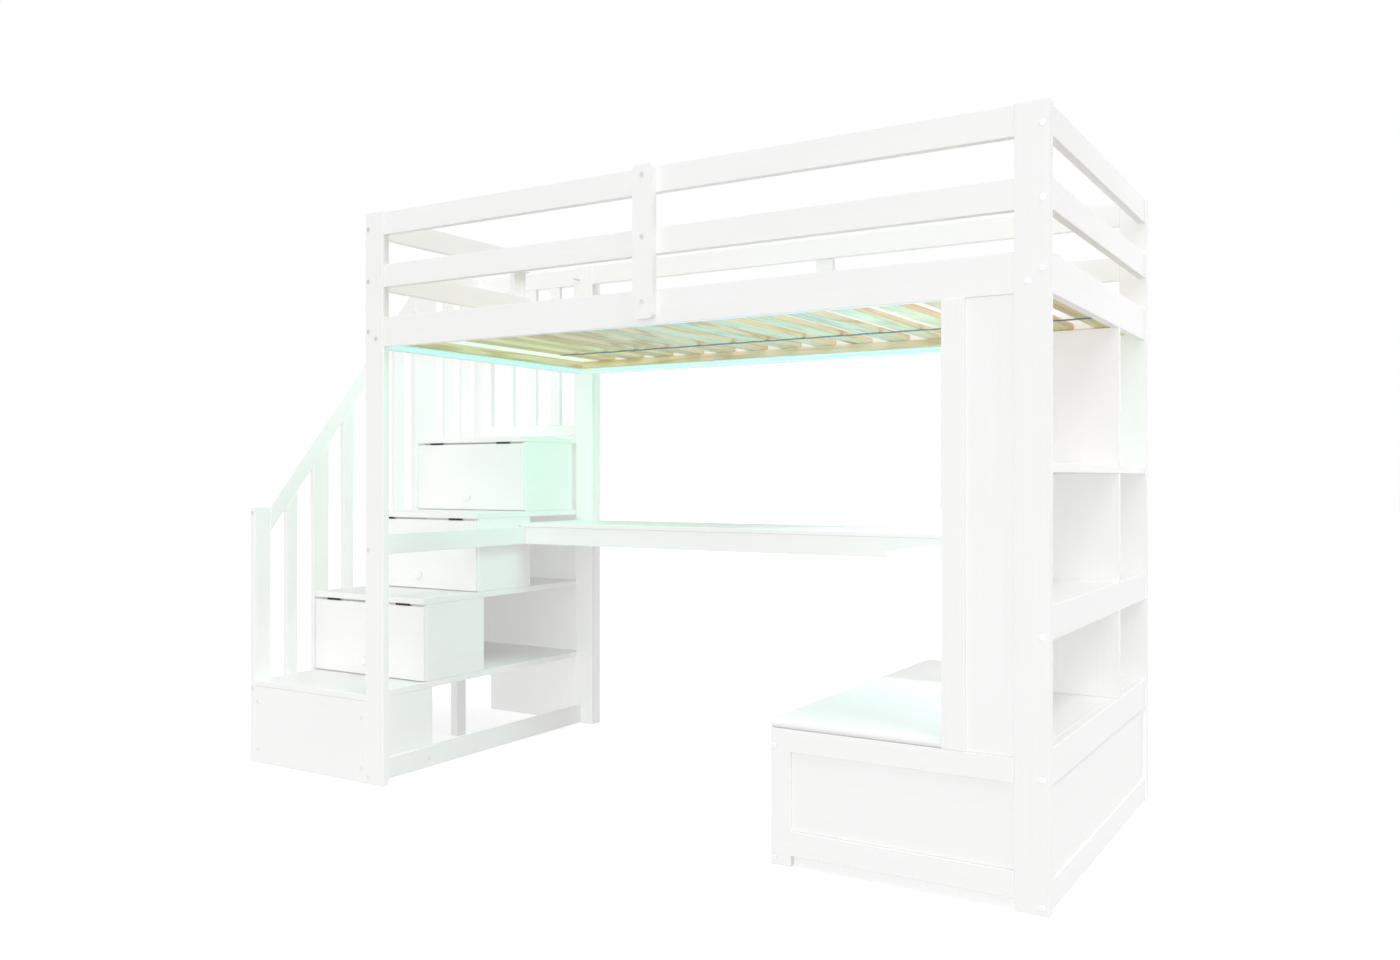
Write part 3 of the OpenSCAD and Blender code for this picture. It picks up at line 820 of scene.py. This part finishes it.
@dataclass
class LightStrip:
    """The lit strip under the ledgers: a flat sleeve with square diodes along it."""

    pitch: float = 33.3 * MM
    diode: float = 5 * MM
    diode_height: float = 0.9 * MM
    rim: float = 0.9 * MM
    sunk: float = 0.35 * MM
    sleeve_easing: float = 0.6 * MM
    sleeve: LitSilicone = LitSilicone("lit_sleeve", (0.55, 0.97, 0.90), (0.42, 0.93, 0.82), 1.0)
    chip: LitSilicone = LitSilicone("lit_diode", (0.62, 0.98, 0.92), (0.48, 0.95, 0.86), 1.1)

    def diodes(self, number: int, low: Vector, high: Vector) -> bpy.types.Object:
        """Makes one section's row of diodes.

        Args:
            number: The section's number, for its name.
            low: The section's lowest corner.
            high: Its highest corner.

        Returns:
            The row, standing on the section's open face.
        """
        run = 0 if high.x - low.x > high.y - low.y else 1
        across = 1 - run
        centre = (low + high) / 2
        outward = 1.0 if centre[across] < 0 else -1.0
        length = high[run] - low[run]
        count = int(length / self.pitch)
        centre[run] = low[run] + (length - (count - 1) * self.pitch) / 2
        centre[across] = (high if outward > 0 else low)[across] + outward * self.diode_height / 2
        half = Vector((self.diode / 2,) * 3)
        half[across] = self.diode_height / 2
        chip = block(f"diode_{number}", centre - half, centre + half)
        mesh = edit(chip)
        choose(chip, mesh, [f for f in mesh.faces if f.normal[across] * outward > 0.9])
        bpy.ops.mesh.inset(thickness=self.rim)
        recess = Vector((0, 0, 0))
        recess[across] = -outward * self.sunk
        bpy.ops.transform.translate(value=recess)
        close_edit()
        step = Vector((0, 0, 0))
        step[run] = self.pitch
        repeat(chip, count, step)
        return chip

    def build(self) -> None:
        """Makes the sleeve and its diodes."""
        sleeves, chips = [], []
        for number, (low, high) in enumerate(islands("light_strips")):
            sleeve = block(f"sleeve_{number}", low, high)
            ease(sleeve, self.sleeve_easing, 3, sharp(SHORTEST_EASED))
            sleeves.append(sleeve)
            chips.append(self.diodes(number, low, high))
        piece = joined("light_sleeve", sleeves)
        smooth(piece)
        hand_over(piece, self.sleeve, "light_strip", BED, "light_strips")
        hand_over(joined("light_diodes", chips), self.chip, "light_strip", BED)


@dataclass
class Fasteners:
    """Flat bolt heads with a hexagon socket, and their shanks."""

    sides: int = 28
    rim: float = 0.6 * MM
    socket_radius: float = 2.9 * MM
    socket_depth: float = 1.1 * MM
    head_height: float = 1.8 * MM
    shank_sides: int = 12
    shank_share: float = 3 / 7

    def head(self, radius: float) -> bpy.types.Object:
        """Makes one head standing on the origin and facing +Z.

        Args:
            radius: The head's radius.

        Returns:
            The head, with its socket sunk in it.
        """
        deselect()
        bpy.ops.mesh.primitive_cylinder_add(
            vertices=self.sides, radius=radius, depth=self.head_height, location=(0, 0, self.head_height / 2))
        head = bpy.context.object
        settle(head)
        mesh = edit(head, "EDGE")
        choose(head, mesh, [e for e in mesh.edges if all(v.co.z > self.head_height * 0.9 for v in e.verts)])
        bpy.ops.mesh.bevel(offset=self.rim, segments=3, affect="EDGES")
        close_edit()
        deselect()
        bpy.ops.mesh.primitive_cylinder_add(
            vertices=6, radius=self.socket_radius, depth=2 * self.socket_depth,
            location=(0, 0, self.head_height))
        cutter = bpy.context.object
        settle(cutter)
        apply_modifier(head, "BOOLEAN", operation="DIFFERENCE", object=cutter, solver="EXACT")
        bpy.data.objects.remove(cutter)
        return head

    def shank(self, radius: float, length: float) -> bpy.types.Object:
        """Makes one shank from the origin down along -Z, with a chamfered tip."""
        deselect()
        bpy.ops.mesh.primitive_cylinder_add(
            vertices=self.shank_sides, radius=radius, depth=length, location=(0, 0, -length / 2))
        shank = bpy.context.object
        settle(shank)
        mesh = edit(shank, "EDGE")
        choose(shank, mesh, [e for e in mesh.edges if all(v.co.z < -length * 0.9 for v in e.verts)])
        bpy.ops.mesh.bevel(offset=radius * 0.3, segments=1, affect="EDGES")
        close_edit()
        return shank

    def build(self) -> None:
        """Puts a head, and a shank where there is one, at each of the CAD's bolts."""
        parts, head = [], None
        for number, (low, high) in enumerate(islands("bolts")):
            size, centre = high - low, (low + high) / 2
            axis = 0 if size.x < self.head_height * 1.5 else 1
            outward = 1.0 if axis == 0 or centre.y > 0 else -1.0
            facing = Vector((0, 0, 0))
            facing[axis] = outward
            radius = max(size.x, size.z) / 2
            head = head or self.head(radius)
            seat = centre.copy()
            seat[axis] = (high if outward > 0 else low)[axis] - outward * self.head_height
            place = Matrix.Translation(seat) @ facing.to_track_quat("Z", "Y").to_matrix().to_4x4()
            parts.append(twin(head, f"bolt_{number}", place))
            length = size[axis] - self.head_height
            if length > self.head_height:
                shank = self.shank(radius * self.shank_share, length)
                shank.data.transform(place)
                parts.append(shank)
        bpy.data.objects.remove(head)
        piece = joined("bolt_set", parts)
        smooth(piece, 30)
        hand_over(piece, PlatedSteel(), "steel", BED, "bolts")


# ---- Studio ----


@dataclass(frozen=True)
class Fill:
    """One even light from far off, which stands in for a wall of softboxes."""

    name: str
    come_from: tuple[float, float, float]
    strength: float
    casts: bool = False
    softness: float = 40.0


@dataclass(frozen=True)
class Glow:
    """One panel of the light that the strip throws: where it hangs, where it aims, its size and its watts."""

    name: str
    place: Sequence[float]
    aim: Sequence[float]
    size: tuple[float, float]
    power: float
    colour: tuple[float, float, float]


@dataclass
class Studio:
    """The floor, the soft light and the camera."""

    floor_size: float = 60.0
    floor_gap: float = 0.5 * MM
    backdrop: float = 1.0
    sky: float = 0.58
    eye: tuple[float, float, float] = (1.9168, -2.9503, 0.9098)
    turn: float = 31.6
    lens: float = 29.82
    rise: float = -0.001
    reach: float = 6.0
    fills: tuple[Fill, ...] = (
        Fill("key_front", (0.15, -1.0, 0.45), 0.52, casts=True, softness=60.0),
        Fill("key_right", (1.0, -0.2, 1.7), 1.45, casts=True, softness=30.0),
        Fill("fill_front", (0.0, -1.0, 0.05), 0.82),
        Fill("fill_right", (1.0, 0.0, 0.05), 0.3),
        Fill("fill_top", (0.0, 0.0, 1.0), 0.12),
        Fill("fill_left", (-1.0, 0.0, 0.05), 0.7),
        Fill("fill_back", (0.0, 1.0, 0.05), 0.7),
        Fill("fill_below", (0.0, 0.0, -1.0), 0.15),
    )

    def floor(self) -> None:
        """Lays the floor a hair under the feet."""
        deselect()
        bpy.ops.mesh.primitive_plane_add(size=self.floor_size, location=(0, 0, -self.floor_gap))
        floor = bpy.context.object
        floor.name = "studio_floor"
        floor.data.materials.append(StudioFloor().material())
        floor.visible_diffuse = False

    def surround(self) -> None:
        """Sets a white backdrop that lights the bed evenly but less brightly than it looks."""
        world = bpy.data.worlds.new("white_surround")
        bpy.context.scene.world = world
        world.use_nodes = True
        tree = world.node_tree
        sky = tree.nodes["Background"]
        sky.inputs["Color"].default_value = (1, 1, 1, 1)
        sky.inputs["Strength"].default_value = self.sky
        backdrop = tree.nodes.new("ShaderNodeBackground")
        backdrop.inputs["Color"].default_value = (1, 1, 1, 1)
        backdrop.inputs["Strength"].default_value = self.backdrop
        rays = tree.nodes.new("ShaderNodeLightPath")
        blend = tree.nodes.new("ShaderNodeMixShader")
        tree.links.new(rays.outputs["Is Camera Ray"], blend.inputs["Fac"])
        tree.links.new(sky.outputs[0], blend.inputs[1])
        tree.links.new(backdrop.outputs[0], blend.inputs[2])
        tree.links.new(blend.outputs[0], tree.nodes["World Output"].inputs["Surface"])

    @staticmethod
    def lamp(data: bpy.types.Light, place: Vector, facing: Vector) -> None:
        """Hangs a light at a place, facing a direction."""
        lamp = bpy.data.objects.new(data.name, data)
        bpy.context.scene.collection.objects.link(lamp)
        lamp.location = place
        lamp.rotation_euler = facing.to_track_quat("-Z", "Y").to_euler()
        lamp.visible_camera = False

    def fill(self, fill: Fill) -> None:
        """Adds one even light, with or without shadows."""
        data = bpy.data.lights.new(fill.name, "SUN")
        data.energy = fill.strength
        data.angle = math.radians(fill.softness)
        data.use_shadow = fill.casts
        self.lamp(data, Vector(fill.come_from) * self.reach, -Vector(fill.come_from))

    def glow(self, glow: Glow) -> None:
        """Adds one panel of the strip's light."""
        data = bpy.data.lights.new(glow.name, "AREA")
        data.shape = "RECTANGLE"
        data.size, data.size_y = glow.size
        data.energy = glow.power
        data.color = glow.colour
        self.lamp(data, Vector(glow.place), Vector(glow.aim) - Vector(glow.place))

    def strip_glow(self) -> None:
        """Adds the light that the strip throws on the slats and into the space under the bed."""
        aqua, cyan, pale, white = (0.0, 1.0, 0.55), (0.0, 0.6, 1.0), (0.65, 1.0, 0.97), (1.0, 1.0, 0.98)
        low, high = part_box("light_strips")
        left, right, back, under = low.x, high.x, high.y, low.z
        middle = (left + right) / 2 + 0.1
        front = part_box("flap_4")[0].y
        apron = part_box("desk_aprons")[0].y + 0.05
        for glow in (
            Glow("glow_slats", (middle, 0, under - 0.12), (middle, 0, under), (1.0, 0.8), 2.5, cyan),
            Glow("glow_landing", (left + 0.4, front + 0.01, under - 0.1),
                 (left, front + 0.12, under - 0.45), (0.25, 0.05), 0.3, aqua),
            Glow("glow_stair", (left + 0.42, -0.05, under - 0.05),
                 (left - 0.05, 0.1, under - 0.4), (0.8, 0.06), 0.9, aqua),
            Glow("glow_seat", (0.75, apron, under - 0.02), (0.8, -0.1, 0.35), (0.5, 0.08), 4.0, pale),
            Glow("glow_bench", (0.7, 0.36, 0.7), (0.75, 0.34, 0.35), (0.4, 0.25), 0.5, white),
            Glow("glow_cubby", (right - 0.08, back - 0.1, under - 0.03),
                 (right - 0.2, back - 0.2, 1.1), (0.1, 0.1), 0.12, aqua),
        ):
            self.glow(glow)

    def camera(self) -> None:
        """Stands the camera at eye height, level, turned towards the stair."""
        data = bpy.data.cameras.new("eye")
        data.lens = self.lens
        data.sensor_width = 36.0
        data.shift_y = self.rise
        eye = bpy.data.objects.new("eye", data)
        bpy.context.scene.collection.objects.link(eye)
        eye.location = self.eye
        eye.rotation_euler = (math.radians(90), 0, math.radians(self.turn))
        bpy.context.scene.camera = eye

    def build(self) -> None:
        """Sets up everything that isn't the bed."""
        bpy.context.scene.view_settings.view_transform = "Standard"
        self.floor()
        self.surround()
        for fill in self.fills:
            self.fill(fill)
        self.strip_glow()
        self.camera()


def main() -> None:
    """Builds the studio and every sub-assembly."""
    logging.basicConfig(level=logging.INFO, format="%(name)s: %(message)s")
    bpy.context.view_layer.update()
    Studio().build()
    for assembly in (BedFrame(), SlatBase(), LightStrip(), Desk(), Bench(), Bookcase(), Stair(), Railing(),
                     *(FlapDoor(body=f"flap_{k}", number=k) for k in (2, 3, 4))):
        log.info("-- %s", type(assembly).__name__)
        assembly.build()
    # The treads' hinge leaves get the same near-black painted shade.
    darken_for_gap_shade("tread_leaves")
    Fasteners().build()
    deselect()


if __name__ == "__main__":
    main()
